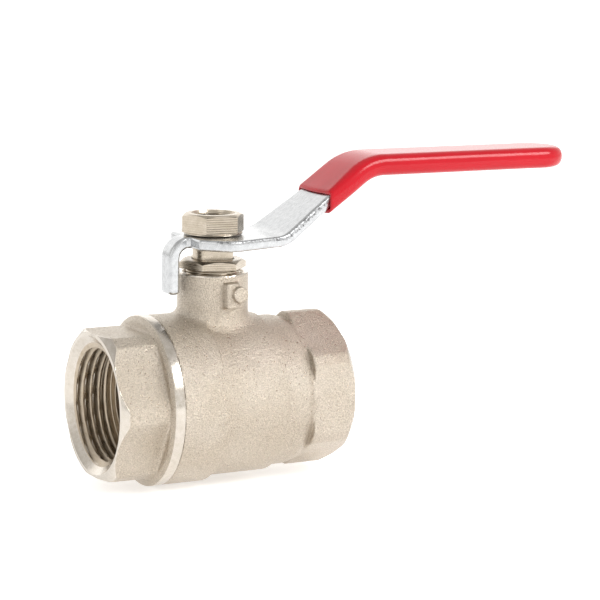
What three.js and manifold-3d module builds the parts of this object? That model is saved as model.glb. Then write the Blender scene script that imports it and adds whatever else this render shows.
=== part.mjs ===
// Lever-operated brass ball valve, G1 (DN 25), threaded at both ends.
// Millimetres, +Z up. The origin is the ball's centre, where the port axis (X) meets the
// stem axis (Z). The end cap is at -X, the body's own hexagon at +X, and the valve is open.
import * as THREE from "three";
import { mergeVertices } from "three/addons/utils/BufferGeometryUtils.js";
import Module from "manifold-3d";

// ---------- driving dimensions ----------
const GAP = 0.3; // clearance kept between neighbouring pieces
const OVER = 1; // how far a cutting solid reaches past what it cuts
const EDGE = 0.5; // small edge chamfer

const PORT_MINOR_R = 15.15; // G1 internal thread, minor radius
const PORT_DEPTH = 12;
const PORT_CHAMFER = 1.9; // widening of the bore at the end face
const FLOW_R = 12.5; // full bore, DN 25
const FACE_X = 34; // the body's end face, from the stem axis
const CAP_FACE_X = -35.2;
const FACE_CHAMFER = 1.6;

const HEX_CORNER_R = 21.2; // hexagon with its corners cut back
const HEX_CORNER_HALF = THREE.MathUtils.degToRad(5.5); // half the width of a cut corner
const HEX_CHAMFER_R = 19.5; // where the end-face chamfer starts

const CAP_HEX_END_X = -22;
const COLLAR_R = 23;
const COLLAR_EDGE_X = -21.1; // the collar reaches its full radius here
const COLLAR_RECESS = 0.1; // the body beside the collar is this much smaller in radius
const JOINT_X = -18.4; // where cap and body meet
const SPIGOT_R = 19; // cap's threaded spigot inside the body
const SPIGOT_END_X = -9.6;
const SEAL_X = -16.6; // body seal, in a groove round the spigot
const SEAL_MID_R = 18.2;
const SEAL_SECTION_R = 0.7;

const SECTION_2_X = -5.9; // the barrel steps down here
const SECTION_2_R = 21.65;
const SECTION_3_X = 12.7;
const SECTION_3_R = 20.4;
const SHOULDER_X = 19;
const BODY_HEX_X = 21.5;

const BALL_R = 17.5;
const CAVITY_R = 18.2;
const SEAT_INNER_X = 9.8;
const SEAT_OUTER_X = 13.6;
const SEAT_R = 16.6;
const SEAT_BORE_R = 12.8;

const NECK_R = 9.6;
const NECK_TOP_Z = 33.9;
const NECK_ROOT_R = 11.2; // fillet between neck and barrel
const NECK_ROOT_Z = 19.6;
const NECK_FILLET_Z = 23.4;
const LUG_Z = [25.2, 32.1];
const LUG_HALF_WIDTH = 1.75;
const LUG_REACH = 12.1; // from the stem axis to the lug's face
const PIN_R = 2.2; // round pin beside the near lug
const PIN_REACH = 13.4;
const PIN_X = 2.2;
const PIN_Z = 29.1;
const CLOSED_STOP_AZIMUTH = 62; // degrees from +X, where the tab comes to rest against it

const STEM_R = 5.5;
const STEM_BORE_R = STEM_R + GAP;
const STEM_FLAT = 3.5; // half the distance across the stem's flats
const STEM_FLATS_Z = 37.2;
const STEM_TOP_R = 4.8;
const STEM_TOP_FLAT = 3.2;
const STEM_TOP_Z = 48.7;
const FLANGE_R = 7.2;
const FLANGE_Z = [17.9, 19.6];
const TANG_HALF = 3.2;
const TANG_REACH = 6;
const TANG_Z = 13.9;
const WASHER_Z = [19.9, 20.9];
const COUNTERBORE_Z = WASHER_Z[1] + GAP;
const O_RING_Z = { lower: 23.3, upper: 26 };
const O_RING_MID_R = 4.9;
const O_RING_SECTION_R = 0.6;
const GROOVE_HALF = 1;

const PACKING_R = 7.8; // packing chamber in the neck
const PACKING_FLOOR_Z = 28;
const PACKING_HEIGHT = 1.1;
const GLAND_CORNER_R = 9.2;
const GLAND_HEX_Z = [34.9, 37.4];
const GLAND_TURN = THREE.MathUtils.degToRad(-13);

const PLATE = 3; // lever plate thickness
const LEVER_TOP_Z = 43.9;
const TAB_OUTER_X = -14;
const TAB_BEND_R = 5.8; // outside of the bend
const TAB_BOTTOM_Z = 28.4;
const TAB_HALF = 3;
const RISE_ANGLE = THREE.MathUtils.degToRad(35);
const RISE_START_X = 17;
const BEND_R = 8; // where the plate starts to rise
const GRIP_BEND_R = 14; // where it levels out again
const GRIP_MID_Z = 61.45;
const STEEL_END_X = 107.7;
const SLEEVE_START_X = 30.4;
const SLEEVE_THICKNESS = 6;
const SLEEVE_WALL = (SLEEVE_THICKNESS - PLATE) / 2;
const SLEEVE_END_X = STEEL_END_X + SLEEVE_WALL + 0.8; // the dip is thicker over the tip
const HEAD_SHOULDER = [[-4.2, 13.2], [-2, 14.8], [0.8, 15.2]]; // [x, half width]
const HEAD_CORNER_HALF = 9.2; // half width of the head's square end, beside the tab
const SHANK = [[14.2, 11.2], [SLEEVE_START_X, 8.7], [46, 7.8]]; // [x, half width]
const GRIP_HALF = 7.3;
const WIDE = 100; // larger than the lever, for solids that trim it

const NUT_CORNER_R = 8.75;
const NUT_Z = [LEVER_TOP_Z + GAP, 49.8];
const NUT_TURN = THREE.MathUtils.degToRad(-7);
const NUT_CHAMFER = 1.1;
const GLAND_CHAMFER = 0.7;

const ROUND = 48; // sides on a full turn
const BEND_STEPS = 6;
const ROUND_END_STEPS = 9;
const MERGE_WITHIN = 1e-4; // mm

// ---------- solids ----------
const wasm = await Module();
wasm.setup();

// A closed geometry as a manifold solid, turned right side out if its profile ran the other way.
function solid(geometry) {
  const bare = geometry.index ? geometry.toNonIndexed() : geometry.clone();
  bare.deleteAttribute("normal");
  bare.deleteAttribute("uv");
  const merged = mergeVertices(bare, MERGE_WITHIN);
  const triVerts = new Uint32Array(merged.index.array);
  const vertProperties = merged.attributes.position.array;
  const made = new wasm.Manifold(new wasm.Mesh({ numProp: 3, vertProperties, triVerts }));
  if (made.volume() > 0) return made;
  for (let i = 0; i < triVerts.length; i += 3) {
    [triVerts[i + 1], triVerts[i + 2]] = [triVerts[i + 2], triVerts[i + 1]];
  }
  return new wasm.Manifold(new wasm.Mesh({ numProp: 3, vertProperties, triVerts }));
}

function lathe(profile) {
  return new THREE.LatheGeometry(profile.map(([r, h]) => new THREE.Vector2(r, h)), ROUND);
}

// Solid of revolution about X, from [radius, x] points that start and end on the axis.
function turnedX(profile) {
  return solid(lathe(profile).rotateZ(-Math.PI / 2));
}

// Solid of revolution about Z, from [radius, z] points that start and end on the axis.
function turnedZ(profile) {
  return solid(lathe(profile).rotateX(Math.PI / 2));
}

function rodX(radius, x0, x1) {
  return turnedX([[0, x0], [radius, x0], [radius, x1], [0, x1]]);
}

function rodZ(radius, z0, z1) {
  return turnedZ([[0, z0], [radius, z0], [radius, z1], [0, z1]]);
}

function box(x0, x1, y0, y1, z0, z1) {
  const geometry = new THREE.BoxGeometry(x1 - x0, y1 - y0, z1 - z0);
  return solid(geometry.translate((x0 + x1) / 2, (y0 + y1) / 2, (z0 + z1) / 2));
}

function extruded(points, depth) {
  const shape = new THREE.Shape(points.map(([x, y]) => new THREE.Vector2(x, y)));
  return new THREE.ExtrudeGeometry(shape, { depth, bevelEnabled: false });
}

// Prism along X from [y, z] points.
function prismX(points, x0, x1) {
  const turned = points.map(([y, z]) => [-z, y]);
  return solid(extruded(turned, x1 - x0).rotateY(Math.PI / 2).translate(x0, 0, 0));
}

// Prism along Z from [x, y] points.
function prismZ(points, z0, z1) {
  return solid(extruded(points, z1 - z0).translate(0, 0, z0));
}

// Prism along Y, centred on Y = 0, from [x, z] points.
function prismY(points, halfWidth) {
  const flat = extruded(points, 2 * halfWidth).translate(0, 0, -halfWidth);
  return solid(flat.rotateX(Math.PI / 2));
}

function hexagon(cornerR, turn = 0) {
  return Array.from({ length: 6 }, (_, i) => {
    const a = turn + (i * Math.PI) / 3;
    return [cornerR * Math.cos(a), cornerR * Math.sin(a)];
  });
}

// Hexagon whose corners are cut back to narrow flats; firstCorner is an angle from +Z.
function cutHexagon(firstCorner) {
  const points = [];
  for (let i = 0; i < 6; i++) {
    const corner = firstCorner + (i * Math.PI) / 3;
    for (const side of [-1, 1]) {
      const a = corner + side * HEX_CORNER_HALF;
      points.push([-HEX_CORNER_R * Math.sin(a), HEX_CORNER_R * Math.cos(a)]);
    }
  }
  return points;
}

// Hexagonal end of the valve between two X stations, chamfered towards faceX.
function hexEnd(firstCorner, innerX, faceX) {
  const side = Math.sign(faceX - innerX);
  const chamfer = turnedX([
    [0, innerX],
    [HEX_CORNER_R + OVER, innerX],
    [HEX_CORNER_R + OVER, faceX - side * FACE_CHAMFER],
    [HEX_CHAMFER_R, faceX],
    [0, faceX],
  ]);
  const ends = [Math.min(innerX, faceX), Math.max(innerX, faceX)];
  return prismX(cutHexagon(firstCorner), ...ends).intersect(chamfer);
}

// Threaded port opening at faceX and running inwards, as one plain bore with a chamfered mouth.
function portBore(faceX) {
  const side = Math.sign(faceX);
  return turnedX([
    [0, faceX + side * OVER],
    [PORT_MINOR_R + PORT_CHAMFER, faceX + side * OVER],
    [PORT_MINOR_R + PORT_CHAMFER, faceX],
    [PORT_MINOR_R, faceX - side * PORT_CHAMFER],
    [PORT_MINOR_R, faceX - side * PORT_DEPTH],
    [0, faceX - side * PORT_DEPTH],
  ]);
}

// Ring about Z.
function ringZ(inner, outer, z0, z1) {
  return rodZ(outer, z0, z1).subtract(rodZ(inner, z0 - OVER, z1 + OVER));
}

// ---------- body ----------
// Block on the neck that a lever tab strikes, at an azimuth in degrees from +X.
function stopLug(azimuth) {
  const lug = box(0, LUG_REACH, -LUG_HALF_WIDTH, LUG_HALF_WIDTH, ...LUG_Z);
  return lug.rotate([0, 0, azimuth]);
}

function valveBody() {
  const barrel = turnedX([
    [0, JOINT_X],
    [COLLAR_R - COLLAR_RECESS, JOINT_X],
    [COLLAR_R - COLLAR_RECESS, SECTION_2_X - EDGE],
    [SECTION_2_R, SECTION_2_X],
    [SECTION_2_R, SECTION_3_X - 2 * EDGE],
    [SECTION_3_R, SECTION_3_X],
    [SECTION_3_R, SHOULDER_X],
    [HEX_CHAMFER_R, BODY_HEX_X],
    [0, BODY_HEX_X],
  ]);
  const neck = turnedZ([
    [0, 0],
    [NECK_ROOT_R, 0],
    [NECK_ROOT_R, NECK_ROOT_Z],
    [NECK_R + 2 * EDGE, NECK_FILLET_Z - 4 * EDGE],
    [NECK_R, NECK_FILLET_Z],
    [NECK_R, NECK_TOP_Z - EDGE],
    [NECK_R - EDGE, NECK_TOP_Z],
    [0, NECK_TOP_Z],
  ]);
  const pin = solid(new THREE.CylinderGeometry(PIN_R, PIN_R, PIN_REACH, ROUND / 2))
    .translate([PIN_X, -PIN_REACH / 2, PIN_Z]);
  const outside = barrel
    .add(hexEnd(0, SHOULDER_X, FACE_X))
    .add(neck)
    .add(stopLug(-90))
    .add(pin)
    .add(stopLug(CLOSED_STOP_AZIMUTH));
  return outside
    .subtract(rodX(SPIGOT_R + GAP, JOINT_X - OVER, SPIGOT_END_X + GAP))
    .subtract(rodX(CAVITY_R, SPIGOT_END_X - OVER, SEAT_INNER_X - GAP))
    .subtract(rodX(SEAT_R + GAP, 0, SEAT_OUTER_X + GAP))
    .subtract(rodX(FLOW_R, 0, FACE_X))
    .subtract(portBore(FACE_X))
    .subtract(rodZ(FLANGE_R + GAP, 0, COUNTERBORE_Z))
    .subtract(rodZ(STEM_BORE_R, 0, NECK_TOP_Z + OVER))
    .subtract(rodZ(PACKING_R, PACKING_FLOOR_Z, NECK_TOP_Z + OVER));
}

function endCap() {
  const collar = turnedX([
    [0, CAP_HEX_END_X - OVER],
    [HEX_CHAMFER_R, CAP_HEX_END_X - OVER],
    [COLLAR_R, COLLAR_EDGE_X],
    [COLLAR_R, JOINT_X - GAP],
    [SPIGOT_R, JOINT_X - GAP],
    [SPIGOT_R, SPIGOT_END_X],
    [0, SPIGOT_END_X],
  ]);
  return hexEnd(Math.PI / 6, CAP_HEX_END_X, CAP_FACE_X)
    .add(collar)
    .subtract(portBore(CAP_FACE_X))
    .subtract(rodX(FLOW_R, CAP_FACE_X, 0))
    .subtract(rodX(SEAT_R + GAP, -SEAT_OUTER_X - GAP, 0))
    .subtract(ringGroove());
}

// Groove round the cap's spigot, just behind the collar, for the body seal.
function ringGroove() {
  const half = SEAL_SECTION_R + GAP;
  const floor = SEAL_MID_R - half;
  return rodX(SPIGOT_R + OVER, SEAL_X - half, SEAL_X + half)
    .subtract(rodX(floor, SEAL_X - half - OVER, SEAL_X + half + OVER));
}

// ---------- ball, seats and stem ----------
function ball() {
  const sphere = solid(new THREE.SphereGeometry(BALL_R, ROUND, ROUND / 2).rotateX(Math.PI / 2));
  const slotHalf = TANG_HALF + GAP;
  return sphere
    .subtract(rodX(FLOW_R, -BALL_R, BALL_R))
    .subtract(box(-slotHalf, slotHalf, -BALL_R, BALL_R, TANG_Z - GAP, BALL_R + OVER));
}

function seatRing(side) {
  const hollow = solid(new THREE.SphereGeometry(BALL_R + GAP, ROUND, ROUND / 2));
  const [x0, x1] = [side * SEAT_INNER_X, side * SEAT_OUTER_X].sort((a, b) => a - b);
  return rodX(SEAT_R, x0, x1)
    .subtract(rodX(SEAT_BORE_R, x0 - OVER, x1 + OVER))
    .subtract(hollow);
}

// Round bar about Z with two flats facing +Y and -Y.
function flattedRod(radius, flat, z0, z1) {
  return rodZ(radius, z0, z1).intersect(box(-radius, radius, -flat, flat, z0 - OVER, z1 + OVER));
}

function stem() {
  const tang = box(-TANG_HALF, TANG_HALF, -TANG_REACH, TANG_REACH, TANG_Z, FLANGE_Z[1]);
  const shoulderZ = LEVER_TOP_Z - PLATE - GAP;
  let made = rodZ(FLANGE_R, ...FLANGE_Z)
    .add(tang.intersect(rodZ(FLANGE_R, TANG_Z - OVER, FLANGE_Z[1])))
    .add(rodZ(STEM_R, FLANGE_Z[0], STEM_FLATS_Z))
    .add(flattedRod(STEM_R, STEM_FLAT, STEM_FLATS_Z - OVER, shoulderZ))
    .add(flattedRod(STEM_TOP_R, STEM_TOP_FLAT, shoulderZ - OVER, STEM_TOP_Z));
  for (const z of Object.values(O_RING_Z)) {
    const floor = O_RING_MID_R - O_RING_SECTION_R - GAP;
    made = made.subtract(ringZ(floor, STEM_R + OVER, z - GROOVE_HALF, z + GROOVE_HALF));
  }
  return made;
}

function torusZ(midR, sectionR, z) {
  return solid(new THREE.TorusGeometry(midR, sectionR, 8, ROUND)).translate([0, 0, z]);
}

function bodySeal() {
  const ring = new THREE.TorusGeometry(SEAL_MID_R, SEAL_SECTION_R, 8, ROUND);
  return solid(ring.rotateY(Math.PI / 2)).translate([SEAL_X, 0, 0]);
}

function packingRing(index) {
  const z = PACKING_FLOOR_Z + GAP + index * (PACKING_HEIGHT + GAP);
  return ringZ(STEM_BORE_R, PACKING_R - GAP, z, z + PACKING_HEIGHT);
}

// Hexagon about Z whose top corners are cut by a cone.
function chamferedHex(cornerR, turn, [z0, z1], chamfer) {
  const flatR = cornerR * Math.cos(Math.PI / 6);
  const coneR = cornerR + EDGE;
  const cone = turnedZ([[0, z0], [coneR, z0], [coneR, z1 - chamfer], [flatR, z1], [0, z1]]);
  return prismZ(hexagon(cornerR, turn), z0, z1).intersect(cone);
}

function glandNut() {
  const skirtZ = PACKING_FLOOR_Z + 2 * (PACKING_HEIGHT + GAP) + GAP;
  return chamferedHex(GLAND_CORNER_R, GLAND_TURN, GLAND_HEX_Z, GLAND_CHAMFER)
    .add(rodZ(PACKING_R - GAP, skirtZ, GLAND_HEX_Z[0] + OVER))
    .subtract(rodZ(STEM_BORE_R, skirtZ - OVER, GLAND_HEX_Z[1] + OVER));
}

function leverNut() {
  return chamferedHex(NUT_CORNER_R, NUT_TURN, NUT_Z, NUT_CHAMFER)
    .subtract(rodZ(STEM_TOP_R + GAP, NUT_Z[0] - OVER, NUT_Z[1] + OVER));
}

// ---------- lever ----------
// Middle line of the bent plate in the XZ plane, as points with unit normals [x, z, nx, nz].
function plateLine() {
  const line = [];
  const arc = (cx, cz, r, from, to, turnSign) => {
    for (let i = 0; i <= BEND_STEPS; i++) {
      const a = from + ((to - from) * i) / BEND_STEPS;
      const [nx, nz] = [Math.cos(a) * turnSign, Math.sin(a) * turnSign];
      line.push([cx + r * Math.cos(a), cz + r * Math.sin(a), nx, nz]);
    }
  };
  const midZ = LEVER_TOP_Z - PLATE / 2;
  const tabX = TAB_OUTER_X + PLATE / 2;
  const tabR = TAB_BEND_R - PLATE / 2;
  const quarter = Math.PI / 2;
  const setBack = BEND_R * Math.tan(RISE_ANGLE / 2);
  const gripSetBack = GRIP_BEND_R * Math.tan(RISE_ANGLE / 2);
  const gripBendZ = GRIP_MID_Z - GRIP_BEND_R;
  const gripX = RISE_START_X + (GRIP_MID_Z - midZ) / Math.tan(RISE_ANGLE);
  line.push([tabX, TAB_BOTTOM_Z, -1, 0]);
  arc(tabX + tabR, midZ - tabR, tabR, Math.PI, quarter, 1);
  arc(RISE_START_X - setBack, midZ + BEND_R, BEND_R, -quarter, RISE_ANGLE - quarter, -1);
  arc(gripX + gripSetBack, gripBendZ, GRIP_BEND_R, quarter + RISE_ANGLE, quarter, 1);
  line.push([STEEL_END_X + SLEEVE_THICKNESS, GRIP_MID_Z, 0, 1]);
  return line;
}

// The plate's middle line given a thickness.
function plateBand(thickness) {
  const line = plateLine();
  const offset = (side) => ([x, z, nx, nz]) => [
    x + (side * nx * thickness) / 2,
    z + (side * nz * thickness) / 2,
  ];
  return prismY([...line.map(offset(1)), ...line.map(offset(-1)).reverse()], WIDE);
}

// Plan outline of the lever, grown sideways by margin: a wide head round the stem, then a taper
// to the grip, which ends in a half circle.
function leverOutline(margin, endX) {
  const headX = TAB_OUTER_X + TAB_BEND_R;
  const gripHalf = GRIP_HALF + margin;
  const half = [
    [TAB_OUTER_X - OVER, TAB_HALF],
    [headX, TAB_HALF],
    [headX, HEAD_CORNER_HALF],
    ...HEAD_SHOULDER,
    ...SHANK.map(([x, y]) => [x, y + margin]),
  ];
  for (let i = 0; i < ROUND_END_STEPS; i++) {
    const a = (i * Math.PI) / (2 * ROUND_END_STEPS);
    half.push([endX - gripHalf + gripHalf * Math.sin(a), gripHalf * Math.cos(a)]);
  }
  return [...half.map(([x, y]) => [x, -y]), [endX, 0], ...half.reverse()];
}

function lever() {
  return plateBand(PLATE)
    .intersect(prismZ(leverOutline(0, STEEL_END_X), 0, WIDE))
    .subtract(flattedRod(STEM_TOP_R + GAP, STEM_TOP_FLAT + GAP, STEM_FLATS_Z, STEM_TOP_Z));
}

function leverGrip() {
  const steelRoom = plateBand(PLATE + 2 * GAP)
    .intersect(prismZ(leverOutline(GAP, STEEL_END_X + GAP), 0, WIDE));
  return plateBand(SLEEVE_THICKNESS)
    .intersect(prismZ(leverOutline(SLEEVE_WALL, SLEEVE_END_X), 0, WIDE))
    .intersect(box(SLEEVE_START_X, SLEEVE_END_X + OVER, -WIDE, WIDE, 0, WIDE))
    .subtract(steelRoom);
}

// ---------- scene graph ----------
const finishes = {
  nickel: { color: 0xd6cbbd, roughness: 0.45, metalness: 0.9 },
  turnedNickel: { color: 0xdcd2c4, roughness: 0.3, metalness: 0.95 },
  zinc: { color: 0xdedede, roughness: 0.3, metalness: 0.9 },
  redVinyl: { color: 0xde1e2d, roughness: 0.25, metalness: 0 },
  chromedBall: { color: 0xd8d8d8, roughness: 0.08, metalness: 1 },
  brass: { color: 0xc9a45c, roughness: 0.35, metalness: 0.9 },
  ptfe: { color: 0xf0efe9, roughness: 0.6, metalness: 0 },
  rubber: { color: 0x1c1c1c, roughness: 0.7, metalness: 0 },
};

const valve = new THREE.Group();
valve.name = "ball_valve";

function addPiece(name, made, finish) {
  const { vertProperties, triVerts, numProp } = made.getMesh();
  const geometry = new THREE.BufferGeometry();
  const position = new Float32Array((vertProperties.length / numProp) * 3);
  for (let i = 0; i < position.length / 3; i++) {
    position.set(vertProperties.subarray(i * numProp, i * numProp + 3), i * 3);
  }
  geometry.setAttribute("position", new THREE.BufferAttribute(position, 3));
  geometry.setIndex(new THREE.BufferAttribute(new Uint32Array(triVerts), 1));
  geometry.computeVertexNormals();
  const piece = new THREE.Mesh(geometry, new THREE.MeshStandardMaterial(finishes[finish]));
  piece.name = name;
  valve.add(piece);
}

addPiece("valve_body", valveBody(), "nickel");
addPiece("end_cap", endCap(), "nickel");
addPiece("body_seal_ring", bodySeal(), "rubber");
addPiece("ball", ball(), "chromedBall");
addPiece("seat_ring_cap_side", seatRing(-1), "ptfe");
addPiece("seat_ring_body_side", seatRing(1), "ptfe");
addPiece("stem", stem(), "brass");
addPiece("stem_thrust_washer", ringZ(STEM_BORE_R, FLANGE_R, ...WASHER_Z), "ptfe");
for (const [place, z] of Object.entries(O_RING_Z)) {
  addPiece(`stem_o_ring_${place}`, torusZ(O_RING_MID_R, O_RING_SECTION_R, z), "rubber");
}
["lower", "upper"].forEach((place, i) => {
  addPiece(`packing_ring_${place}`, packingRing(i), "ptfe");
});
addPiece("gland_nut", glandNut(), "turnedNickel");
addPiece("lever", lever(), "zinc");
addPiece("lever_grip", leverGrip(), "redVinyl");
addPiece("lever_nut", leverNut(), "turnedNickel");

export default valve;
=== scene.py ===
"""Looks of a G1 lever ball valve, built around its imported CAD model.

Shapes are worked out in millimetres, and new_piece() turns them into metres. X is the port axis,
Z the stem axis, and the origin is the ball's centre. A turn angle about X starts at +Z and runs
towards -Y; a turn angle about Z starts at +X and runs towards +Y.
"""
import math

import bpy
import numpy as np
from mathutils import Matrix, Vector

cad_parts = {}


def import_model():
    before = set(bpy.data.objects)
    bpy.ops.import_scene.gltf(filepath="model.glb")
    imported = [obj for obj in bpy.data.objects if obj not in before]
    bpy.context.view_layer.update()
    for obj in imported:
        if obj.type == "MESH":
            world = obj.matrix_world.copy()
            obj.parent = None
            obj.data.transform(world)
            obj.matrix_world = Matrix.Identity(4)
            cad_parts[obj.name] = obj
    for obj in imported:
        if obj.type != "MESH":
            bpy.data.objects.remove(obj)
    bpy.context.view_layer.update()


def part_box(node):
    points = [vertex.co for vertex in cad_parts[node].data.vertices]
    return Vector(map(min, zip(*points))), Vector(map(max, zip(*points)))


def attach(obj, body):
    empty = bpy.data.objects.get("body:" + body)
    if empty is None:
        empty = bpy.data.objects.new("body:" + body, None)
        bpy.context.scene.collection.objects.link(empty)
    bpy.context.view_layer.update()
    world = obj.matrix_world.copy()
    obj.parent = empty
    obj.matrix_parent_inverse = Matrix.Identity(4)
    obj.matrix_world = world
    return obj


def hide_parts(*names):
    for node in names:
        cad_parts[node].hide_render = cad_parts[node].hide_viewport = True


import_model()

MM = 0.001
TURN = 2 * math.pi
NET_MARGIN = 1.0  # room round a piece whose surface is drawn from a field


def extent(node):
    """Lowest and highest corner of a CAD node, in millimetres."""
    return [np.array(corner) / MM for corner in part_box(node)]


# ---------- sizes ----------
BODY_LO, BODY_HI = extent("valve_body")
CAP_LO, CAP_HI = extent("end_cap")
FACE_X = BODY_HI[0]
CAP_FACE_X = -CAP_LO[0]
JOINT_X = BODY_LO[0]
SPIGOT_END_X = CAP_HI[0]
COLLAR_R = CAP_HI[1]
BODY_R = BODY_HI[1]
NECK_TOP_Z = BODY_HI[2]
FLOOR_Z = -COLLAR_R

GAP = 0.3  # clearance between neighbouring pieces
PITCH = 2.309  # G1 thread: 11 threads to the inch
THREAD_MINOR_R = 15.15
THREAD_MAJOR_R = 16.62
THREAD_CREST_AT = 0.37  # share of a pitch that places the first crest
THREAD_FADE = 1.4  # the last turn runs out over this length
MOUTH = ((0, 18.6), (0.55, 17.95), (1.6, 16.55), (2.1, 15.0))  # countersink: depth, radius
PORT_DEPTH = 12
FLOW_R = 12.5

HEX_FLAT_R = 19.29
CAP_HEX_CUT_R = 21.15  # to the narrow flats that cut the corners
BODY_HEX_CUT_R = 21.35
HEX_CHAMFER_R = 19.5
HEX_CHAMFER_SLOPE = 0.95  # length along X for each millimetre of radius
HEX_BASE_X = -22.1
RIDGE_R = 21.5
COLLAR_EDGE_X = -21.1
SPIGOT_R = 19.0
SEAL_X = -16.6
SEAL_MID_R = 18.2
SEAL_SECTION_R = 0.75

SECTION_2_X = -5.9
SECTION_2_R = 21.65
SECTION_3_X = 12.7
SECTION_3_R = 20.6
SHOULDER_X = 19.1
SHOULDER_SLOPE = 0.46
BODY_HEX_X = 21.5
WORN_AT = 222  # degrees about X where the cap's corner is rubbed
WORN_HALF = 13  # degrees to each side

BALL_R = extent("ball")[1][1]
CAVITY_R = 18.2
SEAT_R = extent("seat_ring_body_side")[1][1]
SEAT_X = [extent("seat_ring_body_side")[i][0] for i in (0, 1)]
SEAT_BORE_R = 12.8

NECK_R = 9.6
NECK_FILLET = 2.6
LUG_X = (-2.0, 3.0)
LUG_Z = (25.2, 32.1)
LUG_REACH = 12.1
LUG_DRAFT = 0.3  # how much the lug narrows for each millimetre out from the neck
PIN_X, PIN_Z, PIN_R, PIN_REACH = 2.2, 29.1, 2.2, 13.4
CLOSED_STOP_TURN = math.radians(62)
CLOSED_STOP_HALF = 1.75
PACKING_R = 7.8
PACKING_FLOOR_Z = 28.0
STEM_BORE_R = 5.8
COUNTERBORE_R = 7.5
COUNTERBORE_Z = 21.2

STEM_LO, STEM_HI = extent("stem")
STEM_R = 5.5
STEM_FLAT = 3.5
STEM_TOP_R = 4.8
STEM_TOP_FLAT = 3.2
STEM_FLATS_Z = 37.2
STEM_GROOVE_HALF = 1.0  # half the width of an O-ring's groove
FLANGE_R = STEM_HI[0]
TANG_HALF = 3.2
TANG_REACH = 6.0
FLANGE_Z = (17.9, 19.6)

LEVER_LO, LEVER_HI = extent("lever")
GRIP_LO, GRIP_HI = extent("lever_grip")
PLATE = 3.0
LEVER_TOP_Z = 43.9
TAB_BEND_R = 5.8
TAB_HALF = 3.0
RISE = math.radians(35)
RISE_START_X = 17.0
BEND_R = 8.0
GRIP_BEND_R = 14.0
HEAD = ((-4.2, 13.2), (-2, 14.8), (0.8, 15.2))  # wide head round the stem: x, half width
SHANK = ((14.2, 11.2), (GRIP_LO[0], 8.7), (46, 7.8))
TEAR_AND_REFLECTION_FROM_X = -5.0  # the sheared edge is torn, and carries a painted dark reflection, from here on
TEAR_AND_REFLECTION_GROWS = ((8, 16), (0.95, 0.1))  # x, and how far above the middle the tear and its painted dark reflection start there
TEAR_AND_REFLECTION_TOP = 1.3
TEAR_AND_REFLECTION_DEPTH = 0.45
SLEEVE_THICKNESS = 6.0
SLEEVE_MOUTH_THICKNESS = 5.2
SLEEVE_MOUTH_LENGTH = 9.0  # the sleeve thins over this length
SLEEVE_WALL = 1.5
SLEEVE_MOUTH_WALL = 1.05
SLEEVE_ROUNDING = 3.2
SLEEVE_MOUTH_ROUNDING = 2.0
SLEEVE_SLACK = 0.12
SLEEVE_TIP_LENGTH = 12.0  # the side wall thickens over this length
MOUTH_CURVE = 0.004
GRIP_MID_Z = GRIP_HI[2] - SLEEVE_THICKNESS / 2
GRIP_HALF = 7.3

NUT_SCREW_PITCH = 1.25
MILL_LINE_PITCH = 0.6
NUT_LO, NUT_HI = extent("lever_nut")
GLAND_LO, GLAND_HI = extent("gland_nut")
NUT_CORNER_R = 8.75
GLAND_CORNER_R = 9.2
NUT_AT = math.radians(-7)
GLAND_AT = math.radians(-13)
GLAND_HEX_Z = 34.9


# ---------- meshes ----------
def new_piece(name, points, faces, materials, face_material=None, crease=40):
    """Mesh object from points in millimetres. face_material picks a material from face centres."""
    mesh = bpy.data.meshes.new(name)
    mesh.from_pydata((np.asarray(points) * MM).tolist(), [], [list(f) for f in faces])
    piece = bpy.data.objects.new(name, mesh)
    bpy.context.scene.collection.objects.link(piece)
    for material in materials:
        mesh.materials.append(material)
    finish_surface(mesh, face_material, crease)
    return piece


def finish_surface(mesh, face_material, crease):
    """Smooth shading with sharp edges past the crease angle, and a material for each face."""
    mesh.shade_smooth()
    mesh.set_sharp_from_angle(angle=math.radians(crease))
    if face_material is not None:
        centres = np.zeros(len(mesh.polygons) * 3)
        mesh.polygons.foreach_get("center", centres)
        chosen = face_material(*(centres.reshape(-1, 3).T / MM))
        mesh.polygons.foreach_set("material_index", chosen.astype(np.int32))
    mesh.update()


def install(piece, body, node):
    """Puts a piece on its body, in place of its CAD node."""
    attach(piece, body)
    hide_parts(node)


def facing_out(points, faces):
    """The same faces, turned over if they enclose a negative volume."""
    corners = points[faces]
    fan = np.einsum("ij,ij->i", corners[:, 0], np.cross(corners[:, 1], corners[:, 2]))
    if faces.shape[1] == 4:
        fan += np.einsum("ij,ij->i", corners[:, 0], np.cross(corners[:, 2], corners[:, 3]))
    return faces if fan.sum() > 0 else faces[:, ::-1]


def angles(count):
    """Turn angles evenly spaced over one turn."""
    return np.arange(count) * TURN / count


def about_x(along, radius, turn):
    """Points at a place along X, a radius and a turn angle about X."""
    return np.stack([along, -radius * np.sin(turn), radius * np.cos(turn)], -1)


def about_z(along, radius, turn):
    """Points at a place along Z, a radius and a turn angle about Z."""
    return np.stack([radius * np.cos(turn), radius * np.sin(turn), along], -1)


def ring_grid(outline, turn, place):
    """Closed ring whose section is the closed outline (row, turn, [along, radius])."""
    rows, count = outline.shape[:2]
    points = place(outline[..., 0], outline[..., 1], turn).reshape(-1, 3)
    i, j = np.meshgrid(np.arange(rows), np.arange(count), indexing="ij")
    ni, nj = (i + 1) % rows, (j + 1) % count
    corners = (i * count + j, i * count + nj, ni * count + nj, ni * count + j)
    faces = np.stack(corners, -1).reshape(-1, 4)
    return points, facing_out(points, faces)


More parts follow.
